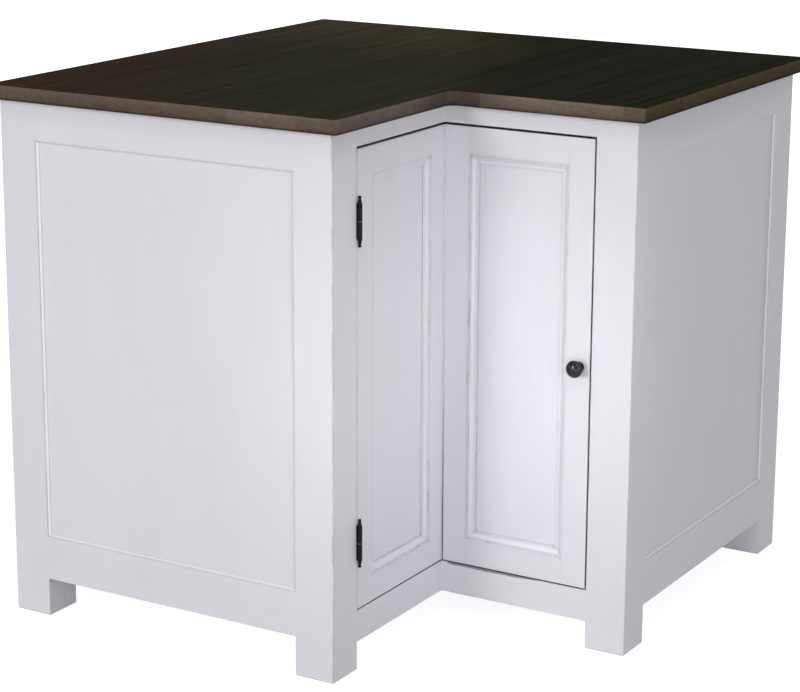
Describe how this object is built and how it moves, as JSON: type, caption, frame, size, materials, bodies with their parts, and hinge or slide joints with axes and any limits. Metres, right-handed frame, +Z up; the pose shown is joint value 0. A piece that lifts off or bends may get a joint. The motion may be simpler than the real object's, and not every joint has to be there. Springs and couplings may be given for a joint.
{
  "type": "corner kitchen cabinet",
  "caption": "Free-standing L-shaped corner base cabinet on square posts, with a stained wooden worktop and a folding pair of panelled doors in the notch.",
  "frame": {"origin": "on the floor, under the middle of the worktop's square outline", "axes": "+Z up, the two backs face -X and +Y, the doors face the notch on +X and -Y"},
  "size_m": [1.005, 1.005, 0.9],
  "materials": {
    "white_paint": "white eggshell paint on softwood, slightly worn",
    "stained_top": "dark brown stain under semi-gloss varnish",
    "bare_board": "clear matt lacquer on pine boards",
    "black_iron": "black lacquer, satin",
    "washer_bronze": "dull bronze",
    "painted_steel": "white eggshell paint on steel strip",
    "zinc_steel": "zinc plated",
    "catch_plastic": "matt white moulding"
  },
  "bodies": {
    "carcass": {"worktop": "stained_top", "post_far_left": "white_paint", "post_front_left": "white_paint", "post_front_right": "white_paint", "post_back_right": "white_paint", "post_back_corner": "white_paint", "left_end_bottom_rail": "white_paint", "left_end_top_rail": "white_paint", "left_end_panel": "white_paint", "left_end_bead": "white_paint", "right_end_bottom_rail": "white_paint", "right_end_top_rail": "white_paint", "right_end_panel": "white_paint", "right_end_bead": "white_paint", "left_back_bottom_rail": "white_paint", "left_back_top_rail": "white_paint", "left_back_panel": "white_paint", "right_back_bottom_rail": "white_paint", "right_back_top_rail": "white_paint", "right_back_panel": "white_paint", "left_face_bottom_rail": "white_paint", "left_face_top_rail": "white_paint", "right_face_bottom_rail": "white_paint", "right_face_top_rail": "white_paint", "floor_left": "bare_board", "floor_right": "bare_board", "floor_bearers": "bare_board", "shelf_left": "bare_board", "shelf_right": "bare_board", "shelf_bearers": "bare_board", "worktop_brackets": "zinc_steel", "worktop_screws": "zinc_steel", "catch_body": "catch_plastic", "door_stop": "white_paint", "post_hinge_fixed_leaves": "black_iron", "post_hinge_pins": "black_iron", "post_hinge_washers": "washer_bronze", "post_hinge_screws": "black_iron"},
    "left_leaf": {"left_leaf_hinge_stile": "white_paint", "left_leaf_corner_stile": "white_paint", "left_leaf_top_rail": "white_paint", "left_leaf_bottom_rail": "white_paint", "left_leaf_panel": "white_paint", "left_leaf_moulding": "white_paint", "post_hinge_moving_leaves": "black_iron", "leaf_hinge_screws": "black_iron", "corner_hinge_left_flap": "painted_steel", "corner_hinge_pin": "zinc_steel"},
    "right_leaf": {"right_leaf_corner_stile": "white_paint", "right_leaf_closing_stile": "white_paint", "right_leaf_top_rail": "white_paint", "right_leaf_bottom_rail": "white_paint", "right_leaf_panel": "white_paint", "right_leaf_moulding": "white_paint", "corner_hinge_right_flap": "painted_steel", "catch_strike": "zinc_steel", "knob": "black_iron", "knob_rose": "black_iron", "knob_stud": "zinc_steel"}
  },
  "joints": [
    {"name": "left_leaf_swing", "type": "hinge", "parent": "carcass", "child": "left_leaf", "pos_m": [0.1475, -0.41175, 0.472], "axis": [0, 0, -1], "range_deg": [0, 95]},
    {"name": "right_leaf_fold", "type": "hinge", "parent": "left_leaf", "child": "right_leaf", "pos_m": [0.1444, -0.1444, 0.472], "axis": [0, 0, -1], "range_deg": [0, 80]}
  ]
}
